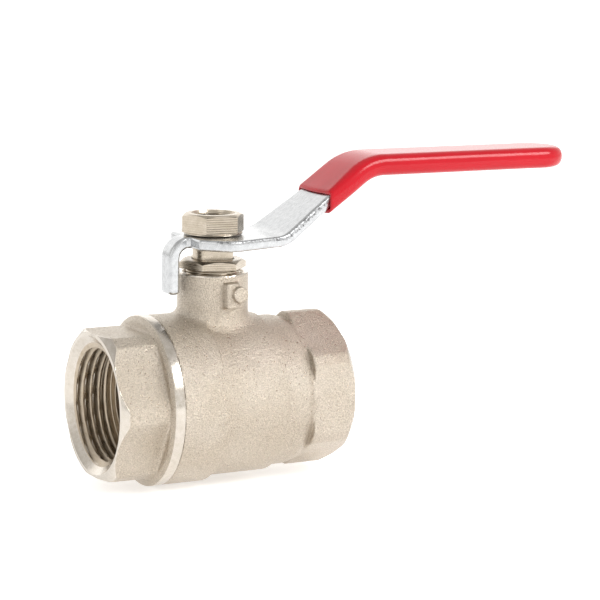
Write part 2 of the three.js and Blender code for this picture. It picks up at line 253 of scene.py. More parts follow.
def solid_of_turn(outline, turn, place):
    """Solid whose outline starts and ends on the axis: points and a list of faces."""
    rows, count = outline.shape[:2]
    points = place(outline[1:-1, :, 0], outline[1:-1, :, 1], turn).reshape(-1, 3)
    poles = [place(outline[k, :1, 0], 0 * outline[k, :1, 0], turn[:1])[0] for k in (0, -1)]
    points = np.vstack([points, poles])
    i, j = np.meshgrid(np.arange(rows - 3), np.arange(count), indexing="ij")
    nj = (j + 1) % count
    corners = (i * count + j, i * count + nj, (i + 1) * count + nj, (i + 1) * count + j)
    quads = np.stack(corners, -1).reshape(-1, 4)
    j = np.arange(count)
    nj = (j + 1) % count
    last_ring = (rows - 3) * count
    start = np.stack([np.full(count, len(points) - 2), nj, j], -1)
    end = np.stack([np.full(count, len(points) - 1), last_ring + j, last_ring + nj], -1)
    turned_quads = facing_out(points, quads)
    if turned_quads is not quads:
        start, end = start[:, ::-1], end[:, ::-1]
    return points, [*turned_quads.tolist(), *start.tolist(), *end.tolist()]


def level(along, radius, turn):
    """One corner of an outline, the same or different at each turn angle."""
    return np.stack(np.broadcast_arrays(along + 0 * turn, radius + 0 * turn), -1)


def eased(corners, reaches, steps=4, closed=True):
    """Outline through the corners, with each corner rounded over its reach."""
    rows = []
    count = len(corners)
    for i, (here, reach) in enumerate(zip(corners, reaches)):
        end_of_line = not closed and i in (0, count - 1)
        if reach == 0 or end_of_line:
            rows.append(here)
            continue
        sides = []
        for other in (corners[i - 1], corners[(i + 1) % count]):
            way = other - here
            length = np.maximum(np.linalg.norm(way, axis=-1, keepdims=True), 1e-6)
            sides.append(here + way / length * np.minimum(reach, 0.45 * length))
        for s in np.linspace(0, 1, steps + 1):
            bend = (1 - s) ** 2 * sides[0] + 2 * s * (1 - s) * here + s**2 * sides[1]
            rows.append(bend)
    return np.array(rows)


def smooth_max(a, b, ease):
    """The larger of two distances, blended where they differ by less than ease."""
    near = np.maximum(ease - np.abs(a - b), 0) / ease
    return np.maximum(a, b) + near * near * ease / 4


def smooth_min(a, b, ease):
    """The smaller of two distances, blended in the same way."""
    return -smooth_max(-a, -b, ease)


def surface_net(field, lo, hi, step):
    """Closed mesh of the surface where field(x, y, z) is zero, between the corners lo and hi."""
    axes = [np.arange(a, b + step, step) for a, b in zip(lo, hi)]
    value = field(*np.meshgrid(*axes, indexing="ij", sparse=True))
    value = np.broadcast_to(value, [len(a) for a in axes])
    inside = value < 0
    blocks = [slice(None, -1), slice(1, None)]
    offsets = [(i, j, k) for i in (0, 1) for j in (0, 1) for k in (0, 1)]
    some, every = False, True
    for i, j, k in offsets:
        corner = inside[blocks[i], blocks[j], blocks[k]]
        some, every = some | corner, every & corner
    cells = np.argwhere(some & ~every)
    number = np.full(some.shape, -1)
    number[tuple(cells.T)] = np.arange(len(cells))
    points = np.array(lo) + (cells + middle_of_crossings(value, cells, offsets)) * step
    points = drawn_onto(field, points, step)
    return points, facing_out(points, net_faces(inside, number))


def middle_of_crossings(value, cells, offsets):
    """Mean place, within each cell, where the field changes sign along the cell's edges."""
    total, hits = np.zeros((len(cells), 3)), np.zeros((len(cells), 1))
    for a in offsets:
        for axis in range(3):
            if a[axis]:
                continue
            b = tuple(1 if k == axis else a[k] for k in range(3))
            va = value[tuple((cells + a).T)]
            vb = value[tuple((cells + b).T)]
            crossed = ((va < 0) != (vb < 0))[:, None]
            share = va / np.where(va == vb, 1, va - vb)
            total += crossed * (np.array(a) + share[:, None] * (np.array(b) - np.array(a)))
            hits += crossed
    return total / hits


def net_faces(inside, number):
    """One quad round each grid edge that crosses the surface, between numbered cells."""
    faces = []
    for axis in range(3):
        first, second = [k for k in range(3) if k != axis]
        if axis == 1:
            first, second = second, first
        low = [slice(None)] * 3
        high = [slice(None)] * 3
        low[axis], high[axis] = slice(None, -1), slice(1, None)
        for side in (first, second):
            low[side] = high[side] = slice(1, -1)
        starts, ends = inside[tuple(low)], inside[tuple(high)]
        node = np.argwhere(starts != ends)
        leaving = starts[tuple(node.T)]
        node = node + np.array([0 if k == axis else 1 for k in range(3)])
        step_1, step_2 = np.eye(3, dtype=int)[first], np.eye(3, dtype=int)[second]
        around = (node, node - step_1, node - step_1 - step_2, node - step_2)
        quads = np.stack([number[tuple(c.T)] for c in around], -1)
        faces.append(np.where(leaving[:, None], quads, quads[:, ::-1]))
    return np.vstack(faces)


def drawn_onto(field, points, step):
    """Points moved along the field's slope until they lie on its surface."""
    probe = 0.02
    for _ in range(3):
        here = field(*points.T)
        slope = []
        for axis in np.eye(3) * probe:
            slope.append((field(*(points + axis).T) - field(*(points - axis).T)) / (2 * probe))
        slope = np.stack(slope, -1)
        move = -here[:, None] * slope / np.maximum((slope**2).sum(-1, keepdims=True), 0.1)
        points = points + np.clip(move, -step / 3, step / 3)
    return points


def carve(piece, *cutters):
    """Cuts closed (points, faces) shapes out of a piece."""
    for points, faces in cutters:
        cutter = new_piece("cutter", points, faces, [])
        cut = piece.modifiers.new("cut", "BOOLEAN")
        cut.object = cutter
        cut.operation = "DIFFERENCE"
        cut.solver = "MANIFOLD"
        bpy.context.view_layer.update()
        depsgraph = bpy.context.evaluated_depsgraph_get()
        mesh = bpy.data.meshes.new_from_object(piece.evaluated_get(depsgraph))
        piece.modifiers.clear()
        piece.data = mesh
        bpy.data.objects.remove(cutter)


# ---------- sections ----------
def hexagon_radius(turn, corner_at, flat_r, cut_r=None, keenness=150):
    """Radius of a hexagon at each turn angle; cut_r is the distance to flats across its corners."""
    total = 0
    for i in range(6):
        flat_at = corner_at + (i + 0.5) * TURN / 6
        total = total + (np.maximum(np.cos(turn - flat_at), 0) / flat_r) ** keenness
        if cut_r:
            cut_at = corner_at + i * TURN / 6
            total = total + (np.maximum(np.cos(turn - cut_at), 0) / cut_r) ** keenness
    return total ** (-1 / keenness)


def flatted_radius(turn, radius, flat, keenness=60):
    """Radius of a round bar with two flats that face +Y and -Y."""
    across = np.abs(np.sin(turn)) / flat
    return (across**keenness + (1 / radius) ** keenness) ** (-1 / keenness)


def thread_rows(turn, face_x):
    """Rows down a threaded port from its mouth at face_x towards the ball, as [along, radius]."""
    length = PORT_DEPTH - GAP
    depth = np.linspace(0, length, round(length / PITCH * 18))[:, None]
    along = face_x - math.copysign(1, face_x) * depth + 0 * turn
    phase = along / PITCH - turn / TURN + THREAD_CREST_AT
    sharpness = 0.93
    wave = np.arcsin(sharpness * np.cos(TURN * phase)) / math.asin(sharpness)
    form = (THREAD_MAJOR_R + THREAD_MINOR_R - (THREAD_MAJOR_R - THREAD_MINOR_R) * wave) / 2
    full = np.clip((length - 1.2 - depth) / THREAD_FADE, 0, 1)
    form = THREAD_MINOR_R + (form - THREAD_MINOR_R) * full
    mouth = np.interp(depth, *zip(*MOUTH))
    return np.stack([along, np.maximum(form, mouth)], -1)


# ---------- end cap ----------
def end_cap():
    turn = angles(420)
    hexagon = hexagon_radius(turn, math.radians(30), HEX_FLAT_R, CAP_HEX_CUT_R)
    face_edge = np.minimum(HEX_CHAMFER_R, hexagon - 0.1)
    chamfer_x = (hexagon - face_edge) * HEX_CHAMFER_SLOPE - CAP_FACE_X
    port_end_x = PORT_DEPTH - CAP_FACE_X
    groove = SEAL_SECTION_R + GAP
    pocket_r, pocket_x = SEAT_R + GAP, -SEAT_X[1] - GAP
    meet_x = JOINT_X - 0.06
    corners = [
        level(port_end_x, THREAD_MINOR_R, turn),
        level(port_end_x, FLOW_R, turn),
        level(pocket_x, FLOW_R, turn),
        level(pocket_x, pocket_r, turn),
        level(SPIGOT_END_X, pocket_r, turn),
        level(SPIGOT_END_X, SPIGOT_R, turn),
        level(SEAL_X + groove, SPIGOT_R, turn),
        level(SEAL_X + groove, SEAL_MID_R - groove, turn),
        level(SEAL_X - groove, SEAL_MID_R - groove, turn),
        level(SEAL_X - groove, SPIGOT_R, turn),
        level(meet_x, SPIGOT_R, turn),
        level(meet_x, COLLAR_R, turn),
        level(COLLAR_EDGE_X, COLLAR_R, turn),
        level(HEX_BASE_X + 0.15, RIDGE_R, turn),
        level(HEX_BASE_X, hexagon, turn),
        level(chamfer_x, hexagon, turn),
        level(-CAP_FACE_X, face_edge, turn),
    ]
    reaches = [0.3, 0.3, 0.2, 0.2, 0.3, 0.4, 0.1, 0.1, 0.1, 0.1, 0.1, 0.14, 0.2, 0.3, 1.5, 0.2, 0.12]
    outline = np.concatenate([eased(corners, reaches), thread_rows(turn, -CAP_FACE_X)])
    points, faces = ring_grid(outline, turn, about_x)

    def machined(x, y, z):
        from_axis = np.hypot(y, z)
        turned_strip = (x > COLLAR_EDGE_X - 0.1) & (from_axis > SPIGOT_R)
        bevel = from_axis - HEX_CHAMFER_R > (x + CAP_FACE_X) / HEX_CHAMFER_SLOPE - 0.25
        face = (x < 0.1 - CAP_FACE_X) | (bevel & (x < 2.2 - CAP_FACE_X))
        turned = face | (from_axis < MOUTH[0][1]) | turned_strip | (x > JOINT_X)
        bored = (from_axis < MOUTH[2][1]) & (x > MOUTH[2][0] - CAP_FACE_X)
        from_corner = np.degrees(np.arctan2(-y, z)) % 360 - WORN_AT
        rubbed = bevel & (x < 1.8 - CAP_FACE_X) & (np.abs(from_corner) < WORN_HALF)
        return np.where(rubbed, 3, np.where(bored, 2, turned))

    finishes = [cast_nickel, turned_nickel, tapped_nickel, worn_brass]
    piece = new_piece("end_cap_turned", points, faces, finishes, machined)
    install(piece, "housing", "end_cap")


# ---------- body ----------
def body_hexagon(y, z):
    """Distance out from the body's hexagon, which has a cut corner straight up."""
    return np.hypot(y, z) - hexagon_radius(np.arctan2(-y, z), 0, HEX_FLAT_R, BODY_HEX_CUT_R)


def block(a, b, c, half_a, top_b, half_c, draft):
    """Block that stands out along b, with sides drafted in a."""
    slope = math.hypot(1, draft)
    sides = (np.abs(a) - half_a + draft * b) / slope
    return smooth_max(smooth_max(sides, np.abs(c) - half_c, 0.8), b - top_b, 0.6)


def body_length(x, y, z):
    """Stepped barrel and hexagon, along the port axis."""
    from_axis = np.hypot(y, z)
    section_1 = smooth_max(from_axis - BODY_R, x - SECTION_2_X, 0.35)
    section_2 = smooth_max(from_axis - SECTION_2_R, x - SECTION_3_X, 0.35)
    cone = (from_axis - SECTION_3_R + SHOULDER_SLOPE * (x - SHOULDER_X)) / math.hypot(
        1, SHOULDER_SLOPE)
    section_3 = smooth_max(from_axis - SECTION_3_R, cone, 0.6)
    barrel = smooth_min(smooth_min(section_1, section_2, 0.2), section_3, 0.2)
    hexagon = smooth_max(body_hexagon(y, z), BODY_HEX_X - x, 0.5)
    length = smooth_min(barrel, hexagon, 0.5)
    bevel = (x - FACE_X + HEX_CHAMFER_SLOPE * (from_axis - HEX_CHAMFER_R)) / math.hypot(
        1, HEX_CHAMFER_SLOPE)
    return smooth_max(smooth_max(length, bevel, 0.25), x - FACE_X, 0.2)


def stem_neck(x, y, z):
    """Neck round the stem, with the near lug and its pin and the lug that stops the lever."""
    neck = smooth_max(smooth_max(np.hypot(x, y) - NECK_R, z - NECK_TOP_Z, 0.5), -z, 1)
    lug_mid = (LUG_X[0] + LUG_X[1]) / 2
    lug_half = (LUG_X[1] - LUG_X[0]) / 2
    lug_high = (LUG_Z[1] - LUG_Z[0]) / 2
    lug_z = z - (LUG_Z[0] + LUG_Z[1]) / 2
    near_lug = block(x - lug_mid, -y - NECK_R, lug_z, lug_half, LUG_REACH - NECK_R, lug_high,
                     LUG_DRAFT)
    near_lug = smooth_max(near_lug, y, 1)
    pin = smooth_max(np.hypot(x - PIN_X, z - PIN_Z) - PIN_R, -y - PIN_REACH, 0.6)
    pin = smooth_max(pin, y, 1)
    out, across = math.cos(CLOSED_STOP_TURN), math.sin(CLOSED_STOP_TURN)
    far_b = x * out + y * across
    far_lug = block(-x * across + y * out, far_b - NECK_R, lug_z, CLOSED_STOP_HALF,
                    LUG_REACH - NECK_R, lug_high, 0)
    far_lug = smooth_max(far_lug, -far_b, 1)
    neck = smooth_min(smooth_min(neck, near_lug, 0.7), far_lug, 0.7)
    return smooth_min(neck, pin, 0.35)


def body_outside(x, y, z):
    """The whole forging, not yet bored."""
    whole = smooth_min(body_length(x, y, z), stem_neck(x, y, z), NECK_FILLET)
    return smooth_max(whole, JOINT_X - x, 0.2)


def body_core(turn):
    """Everything turned out of the body along X, from the joint to the threaded mouth."""
    pocket = SEAT_X[1] + GAP
    port_end_x = FACE_X - PORT_DEPTH
    corners = [
        level(JOINT_X - 1, 0, turn),
        level(JOINT_X - 1, SPIGOT_R + GAP, turn),
        level(SPIGOT_END_X + GAP, SPIGOT_R + GAP, turn),
        level(SPIGOT_END_X + GAP, CAVITY_R, turn),
        level(SEAT_X[0] - GAP, CAVITY_R, turn),
        level(SEAT_X[0] - GAP, SEAT_R + GAP, turn),
        level(pocket, SEAT_R + GAP, turn),
        level(pocket, FLOW_R, turn),
        level(port_end_x, FLOW_R, turn),
        level(port_end_x, THREAD_MINOR_R, turn),
    ]
    reaches = [0, 0, 0.2, 0.2, 0.2, 0.2, 0.2, 0.2, 0.3, 0.3]
    port_start = level(port_end_x + GAP, THREAD_MINOR_R, turn)
    inner = eased(corners + [port_start], reaches + [0], closed=False)[:-1]
    port = thread_rows(turn, FACE_X)[::-1]
    past = [level(FACE_X + 1, MOUTH[0][1] + 1, turn), level(FACE_X + 1, 0, turn)]
    return solid_of_turn(np.concatenate([inner, port, past]), turn, about_x)


def stem_core(turn):
    """Everything bored into the body along Z for the stem, its washer and the packing."""
    corners = [
        level(0, 0, turn),
        level(0, COUNTERBORE_R, turn),
        level(COUNTERBORE_Z, COUNTERBORE_R, turn),
        level(COUNTERBORE_Z, STEM_BORE_R, turn),
        level(PACKING_FLOOR_Z, STEM_BORE_R, turn),
        level(PACKING_FLOOR_Z, PACKING_R, turn),
        level(NECK_TOP_Z - 0.5, PACKING_R, turn),
        level(NECK_TOP_Z + 0.5, PACKING_R + 1, turn),
        level(NECK_TOP_Z + 0.5, 0, turn),
    ]
    return solid_of_turn(np.array(corners), turn, about_z)


def valve_body():
    points, faces = surface_net(body_outside, BODY_LO - NET_MARGIN, BODY_HI + NET_MARGIN, 0.45)
    finishes = [cast_nickel, turned_nickel, tapped_nickel]
    piece = new_piece("valve_body_forged", points, faces, finishes)
    carve(piece, body_core(angles(260)), stem_core(angles(96)))

    def machined(x, y, z):
        from_axis = np.hypot(y, z)
        inside = (from_axis < MOUTH[0][1] + 0.2) & (np.hypot(x, y) > STEM_BORE_R) & (z < COUNTERBORE_Z)
        inside |= np.hypot(x, y) < PACKING_R + 0.5
        bevel = from_axis - HEX_CHAMFER_R > (FACE_X - x) / HEX_CHAMFER_SLOPE - 0.25
        face = (x > FACE_X - 0.15) | (bevel & (x > FACE_X - 1.6)) | (z > NECK_TOP_Z - 0.3)
        bored = inside & (x < FACE_X - MOUTH[2][0])
        return np.where(bored, 2, inside | face)

    finish_surface(piece.data, machined, 35)
    install(piece, "housing", "valve_body")


# ---------- ball, seats, seals ----------
def ball():
    turn = angles(128)
    rise = np.linspace(-math.pi / 2, math.pi / 2, 97)
    outline = [level(BALL_R * math.sin(a), BALL_R * math.cos(a), turn) for a in rise]
    points, faces = solid_of_turn(np.array(outline), turn, about_z)
    piece = new_piece("ball_polished", points, faces, [polished_chrome])
    flare = 0.5  # edge of the bore, eased so that it doesn't cut the seats
    reach = math.sqrt(BALL_R**2 - FLOW_R**2)
    bore = [(-BALL_R, 0), (-BALL_R, FLOW_R + BALL_R - reach + flare), (-reach + flare, FLOW_R),
            (reach - flare, FLOW_R), (BALL_R, FLOW_R + BALL_R - reach + flare), (BALL_R, 0)]
    slot_half = TANG_HALF + GAP
    tang_z = STEM_LO[2] - GAP
    slot = cuboid((-slot_half, -BALL_R, tang_z), (slot_half, BALL_R, BALL_R + 1))
    bore_rows = np.array([level(along, radius, turn) for along, radius in bore])
    carve(piece, solid_of_turn(bore_rows, turn, about_x), slot)
    finish_surface(piece.data, None, 30)
    install(piece, "ball", "ball")


def cuboid(lo, hi):
    """Closed box between two corners, as points and faces."""
    points = np.array([[(lo, hi)[c >> a & 1][a] for a in range(3)] for c in range(8)], float)
    faces = np.array([[0, 1, 3, 2], [4, 6, 7, 5], [0, 4, 5, 1], [2, 3, 7, 6], [0, 2, 6, 4],
                      [1, 5, 7, 3]])
    return points, facing_out(points, faces)


def seat_ring(side):
    """PTFE seat on one side of the ball: -1 is the cap's side, 1 the body's."""
    turn = angles(128)
    hollow_r = BALL_R + GAP
    lip = math.sqrt(hollow_r**2 - SEAT_X[0] ** 2)
    touch = np.linspace(math.asin(SEAT_BORE_R / hollow_r), math.asin(lip / hollow_r), 9)
    corners = [level(side * hollow_r * math.cos(a), hollow_r * math.sin(a), turn) for a in touch]
    corners += [level(side * SEAT_X[0], SEAT_R, turn), level(side * SEAT_X[1], SEAT_R, turn),
                level(side * SEAT_X[1], SEAT_BORE_R, turn)]
    reaches = [0] * len(touch) + [0.3, 0.3, 0.3]
    points, faces = ring_grid(eased(corners, reaches), turn, about_x)
    place = "cap" if side < 0 else "body"
    piece = new_piece(f"seat_{place}_side_moulded", points, faces, [ptfe])
    install(piece, "housing", f"seat_ring_{place}_side")


def round_ring(name, node, body, mid_r, section_r, along, place):
    """Rubber ring with a round section."""
    turn = angles(128)
    section = angles(20)
    outline = [level(along + section_r * math.cos(a), mid_r + section_r * math.sin(a), turn)
               for a in section]
    points, faces = ring_grid(np.array(outline), turn, place)
    install(new_piece(name, points, faces, [rubber]), body, node)


def flat_ring(name, node, ease):
    """PTFE washer or packing ring round the stem, as wide and high as its CAD node."""
    turn = angles(128)
    lo, hi = extent(node)
    outer_r = hi[0]
    corners = [level(lo[2], STEM_BORE_R, turn), level(lo[2], outer_r, turn),
               level(hi[2], outer_r, turn), level(hi[2], STEM_BORE_R, turn)]
    points, faces = ring_grid(eased(corners, [ease] * 4), turn, about_z)
    install(new_piece(name, points, faces, [ptfe]), "housing", node)


# ---------- stem and nuts ----------
def screw_rows(turn, from_z, to_z, crest_r, root_r):
    """Rows of a fine thread about Z from one height to another, as [along, radius]."""
    count = round(abs(to_z - from_z) / NUT_SCREW_PITCH * 10)
    along = np.linspace(from_z, to_z, count)[:, None] + 0 * turn
    wave = np.cos(TURN * (along / NUT_SCREW_PITCH - turn / TURN))
    from_end = np.minimum(abs(along - from_z), abs(along - to_z))
    ends = np.clip(from_end / (0.5 * NUT_SCREW_PITCH), 0, 1)
    return np.stack([along, root_r + (crest_r - root_r) * (0.5 + 0.5 * wave) * ends], -1)


def stem():
    turn = angles(240)
    keenness = 40
    wide, long = np.abs(np.cos(turn)) / TANG_HALF, np.abs(np.sin(turn)) / TANG_REACH
    tang = (wide**keenness + long**keenness) ** (-1 / keenness)
    flats = flatted_radius(turn, STEM_R, STEM_FLAT)
    top_flats = flatted_radius(turn, STEM_TOP_R, STEM_TOP_FLAT)
    shoulder_z = LEVER_TOP_Z - PLATE - GAP
    tang_z, top_z = STEM_LO[2], STEM_HI[2]
    corners = [level(tang_z, 0, turn), level(tang_z, tang, turn), level(FLANGE_Z[0], tang, turn),
               level(FLANGE_Z[0], FLANGE_R, turn), level(FLANGE_Z[1], FLANGE_R, turn),
               level(FLANGE_Z[1], STEM_R, turn)]
    reaches = [0, 0.4, 0.2, 0.2, 0.2, 0.2]
    for ring in ("lower", "upper"):
        lo, hi = extent(f"stem_o_ring_{ring}")
        mid = (lo[2] + hi[2]) / 2
        floor = hi[0] - (hi[2] - lo[2]) - GAP
        for side, radius in ((-1, STEM_R), (-1, floor), (1, floor), (1, STEM_R)):
            corners.append(level(mid + side * STEM_GROOVE_HALF, radius, turn))
            reaches.append(0.15)
    corners += [level(STEM_FLATS_Z, STEM_R, turn), level(STEM_FLATS_Z + 0.1, flats, turn),
                level(shoulder_z, flats, turn), level(shoulder_z + 0.05, top_flats, turn),
                level(top_z, top_flats, turn), level(top_z, 0, turn)]
    reaches += [0.15, 0.15, 0.25, 0.2, 0.5, 0]
    points, faces = solid_of_turn(eased(corners, reaches, closed=False), turn, about_z)
    piece = new_piece("stem_machined", points, faces, [milled_nickel])
    install(piece, "lever_and_stem", "stem")


def corner_rich(at, per_side=34):
    """Turn angles of a hexagon, closer together towards its corners."""
    share = np.linspace(-1, 1, per_side + 1)[:-1]
    offset = np.sign(share) * (1 - (1 - np.abs(share)) ** 1.8)
    return np.concatenate([at + (i + 0.5) * TURN / 6 + offset * TURN / 12 for i in range(6)])


def milled_sides(turn, at, side_r, low_z, top_z, depth):
    """Rows up a nut's flats, with the fine ridges that the tool left on them."""
    rows = []
    facet = np.floor((turn - at) / (TURN / 6)) % 3
    strength = np.choose(facet.astype(int), [0.3, 1.0, 0.3])
    for share in np.linspace(0.02, 0.98, 64):
        z = low_z + (top_z - low_z) * share
        lines = np.sin(z * TURN / MILL_LINE_PITCH) ** 3
        rows.append(np.stack([z + 0 * turn, side_r + depth * strength * lines], -1))
    return np.array(rows)


def lever_nut():
    at = NUT_AT
    turn = corner_rich(at)
    flat_r = NUT_CORNER_R * math.cos(TURN / 12)
    side = hexagon_radius(turn, at, flat_r, keenness=260)
    low, top = NUT_LO[2], NUT_HI[2]
    washer_h, bore_r = 0.45, STEM_TOP_R + 0.35
    drop = (side - flat_r + 0.5) * 0.5
    rise = (side - flat_r) * 0.1
    below = [level(low, bore_r + 0.5, turn), level(low, 7.9, turn),
             level(low + washer_h, 7.95, turn), level(low + washer_h + 0.05 + rise, side, turn)]
    above = [level(top - drop, side, turn), level(top, flat_r - 0.5, turn),
             level(top, bore_r + 0.7, turn)]
    outline = np.concatenate([
        eased(below, [0.1, 0.1, 0.1, 0.15], 3, closed=False),
        milled_sides(turn, at, side, low + washer_h + 0.1 + rise, top - drop, 0.03),
        eased(above, [0.2, 0.3, 0.2], 3, closed=False),
        screw_rows(turn, top - 0.6, low + 0.5, bore_r, bore_r + 0.5)])
    points, faces = ring_grid(outline, turn, about_z)

    # the front flat alone gets painted shade: dark lines between its tool ridges
    def front_flat(x, y, z):
        off_front = np.cos(np.arctan2(y, x) - NUT_AT + TURN / 4)
        on_side = (z > low + washer_h) & (z < top - 0.3) & (np.hypot(x, y) > flat_r - 0.2)
        return on_side & (off_front > math.cos(TURN / 12))

    finishes = [milled_nickel, nickel_painted_groove_shade]
    piece = new_piece("lever_nut_milled", points, faces, finishes, front_flat, crease=32)
    install(piece, "lever_and_stem", "lever_nut")


def gland_nut():
    at = GLAND_AT
    turn = corner_rich(at)
    flat_r = GLAND_CORNER_R * math.cos(TURN / 12)
    side = hexagon_radius(turn, at, flat_r, keenness=260)
    low, top, hex_low = GLAND_LO[2], GLAND_HI[2], GLAND_HEX_Z
    screw_r = PACKING_R - 0.25
    drop = (side - flat_r + 0.3) * 0.55
    below = [level(low, STEM_BORE_R, turn), level(low, screw_r, turn)]
    above = [level(top - drop, side, turn), level(top, flat_r - 0.3, turn),
             level(top, STEM_BORE_R, turn)]
    outline = np.concatenate([
        eased(below, [0.2, 0.3], 3, closed=False),
        screw_rows(turn, low + 0.3, hex_low - 0.5, screw_r, screw_r - 0.5),
        [level(hex_low - 0.3, screw_r - 0.4, turn), level(hex_low, screw_r - 0.4, turn),
         level(hex_low, side - 0.15, turn)],
        milled_sides(turn, at, side, hex_low + 0.1, top - drop, 0.04),
        eased(above, [0.2, 0.25, 0.25], 3, closed=False)])
    points, faces = ring_grid(outline, turn, about_z)
    piece = new_piece("gland_nut_milled", points, faces, [milled_nickel], crease=32)
    install(piece, "housing", "gland_nut")


# ---------- lever ----------
def arc(cx, cz, radius, start, end):
    """Points along an arc from one angle to another."""
    return [(cx + radius * math.cos(a), cz + radius * math.sin(a))
            for a in np.linspace(start, end, 10)]


def lever_line():
    """Middle line of the bent plate, as (x, z) points from below the tab to past the tip."""
    quarter = math.pi / 2
    mid_z = LEVER_TOP_Z - PLATE / 2
    tab_x = LEVER_LO[0] + PLATE / 2
    tab_r = TAB_BEND_R - PLATE / 2
    set_back, grip_set_back = [r * math.tan(RISE / 2) for r in (BEND_R, GRIP_BEND_R)]
    grip_x = RISE_START_X + (GRIP_MID_Z - mid_z) / math.tan(RISE)
    line = [(tab_x, LEVER_LO[2] - PLATE)]
    line += arc(tab_x + tab_r, mid_z - tab_r, tab_r, math.pi, quarter)
    line += arc(RISE_START_X - set_back, mid_z + BEND_R, BEND_R, -quarter, RISE - quarter)
    line += arc(grip_x + grip_set_back, GRIP_MID_Z - GRIP_BEND_R, GRIP_BEND_R, quarter + RISE,
                quarter)
    line.append((GRIP_HI[0] + PLATE, GRIP_MID_Z))
    return line


def lever_outline():
    """Plan of the lever, as (x, y) points."""
    head_x = LEVER_LO[0] + TAB_BEND_R
    end_x = LEVER_HI[0]
    half = [(LEVER_LO[0] - 2, TAB_HALF), (head_x - 0.6, TAB_HALF), (head_x, TAB_HALF + 0.6),
            (head_x, 9.2), *HEAD, *SHANK, (end_x - GRIP_HALF, GRIP_HALF)]
    for a in np.linspace(0, math.pi / 2, 10)[1:-1]:
        half.append((end_x - GRIP_HALF + GRIP_HALF * math.sin(a), GRIP_HALF * math.cos(a)))
    return [(x, -y) for x, y in half] + [(end_x, 0)] + half[::-1]


def off_line(px, py, line):
    """Distance from points to a line of joined stretches."""
    nearest = np.inf
    for (x0, y0), (x1, y1) in zip(line[:-1], line[1:]):
        dx, dy = x1 - x0, y1 - y0
        share = np.clip(((px - x0) * dx + (py - y0) * dy) / (dx * dx + dy * dy), 0, 1)
        nearest = np.minimum(nearest, np.hypot(px - x0 - share * dx, py - y0 - share * dy))
    return nearest


def off_outline(px, py, outline):
    """Signed distance to a closed outline, negative inside."""
    ring = outline + outline[:1]
    inside = False
    for (x0, y0), (x1, y1) in zip(ring[:-1], ring[1:]):
        if y0 == y1:
            continue
        spans = (y0 > py) != (y1 > py)
        inside = inside ^ (spans & (px < (x1 - x0) * (py - y0) / (y1 - y0) + x0))
    return np.where(inside, -1, 1) * off_line(px, py, ring)


def lever_plate(x, y, z):
    """The stamped plate, with its flatted hole for the stem."""
    plate = off_line(x, z, lever_line()) - PLATE / 2
    plan = off_outline(x, y, lever_outline())
    hole = smooth_max(np.hypot(x, y) - STEM_TOP_R - GAP, np.abs(y) - STEM_TOP_FLAT - GAP, 0.2)
    made = smooth_max(plate, plan, 0.9)
    made = smooth_max(made, LEVER_LO[2] - z, 1.2)
    return smooth_max(made, -hole, 0.3)


def lever():
    points, faces = surface_net(lever_plate, LEVER_LO - NET_MARGIN, LEVER_HI + NET_MARGIN, 0.42)

    def torn_and_reflection_band(x, y, z):
        """Band along the upper half of the edge: the torn zone that the press left, also darkened as a
        painted dark reflection.
        """
        line = lever_line()
        height = off_line(x, z, line)
        height = np.where(off_line(x, z + 0.05, line) > height, height, -height)
        at_edge = np.abs(off_outline(x, y, lever_outline())) < TEAR_AND_REFLECTION_DEPTH
        # this band holds both the real torn zone and a painted dark reflection
        torn_and_reflection = (height > np.interp(x, *TEAR_AND_REFLECTION_GROWS)) & (height < TEAR_AND_REFLECTION_TOP)
        return at_edge & torn_and_reflection & (x > TEAR_AND_REFLECTION_FROM_X)

    finishes = [zinc_steel, torn_steel_and_painted_reflection]
    piece = new_piece("lever_stamped", points, faces, finishes, torn_and_reflection_band, crease=50)
    install(piece, "lever_and_stem", "lever")


def sleeve(x, y, z):
    """Dipped sleeve: a skin round the plate, thinner at its mouth and thicker at the tip."""
    off_mid = off_line(x, z, lever_line())
    plan = off_outline(x, y, lever_outline())
    from_mouth = np.clip((x - GRIP_LO[0]) / SLEEVE_MOUTH_LENGTH, 0, 1)
    grown = from_mouth * from_mouth * (3 - 2 * from_mouth)
    half = (SLEEVE_MOUTH_THICKNESS + (SLEEVE_THICKNESS - SLEEVE_MOUTH_THICKNESS) * grown) / 2
    rounding = SLEEVE_MOUTH_ROUNDING + (SLEEVE_ROUNDING - SLEEVE_MOUTH_ROUNDING) * grown
    to_tip = np.clip((x - LEVER_HI[0]) / SLEEVE_TIP_LENGTH + 1, 0, 1)
    wall = SLEEVE_MOUTH_WALL + (SLEEVE_WALL - SLEEVE_MOUTH_WALL) * grown
    wall = wall + (GRIP_HI[0] - LEVER_HI[0] - SLEEVE_WALL) * to_tip
    outer = smooth_max(off_mid - half, plan - wall, rounding)
    inner = smooth_max(off_mid - PLATE / 2 - SLEEVE_SLACK, plan - SLEEVE_SLACK, 0.6)
    mouth = GRIP_LO[0] + MOUTH_CURVE * y * y - x
    return smooth_max(np.maximum(outer, -inner), mouth, 0.45)


def lever_grip():
    points, faces = surface_net(sleeve, GRIP_LO - NET_MARGIN, GRIP_HI + NET_MARGIN, 0.4)
    piece = new_piece("lever_grip_dipped", points, faces, [red_vinyl], crease=60)
    install(piece, "lever_and_stem", "lever_grip")


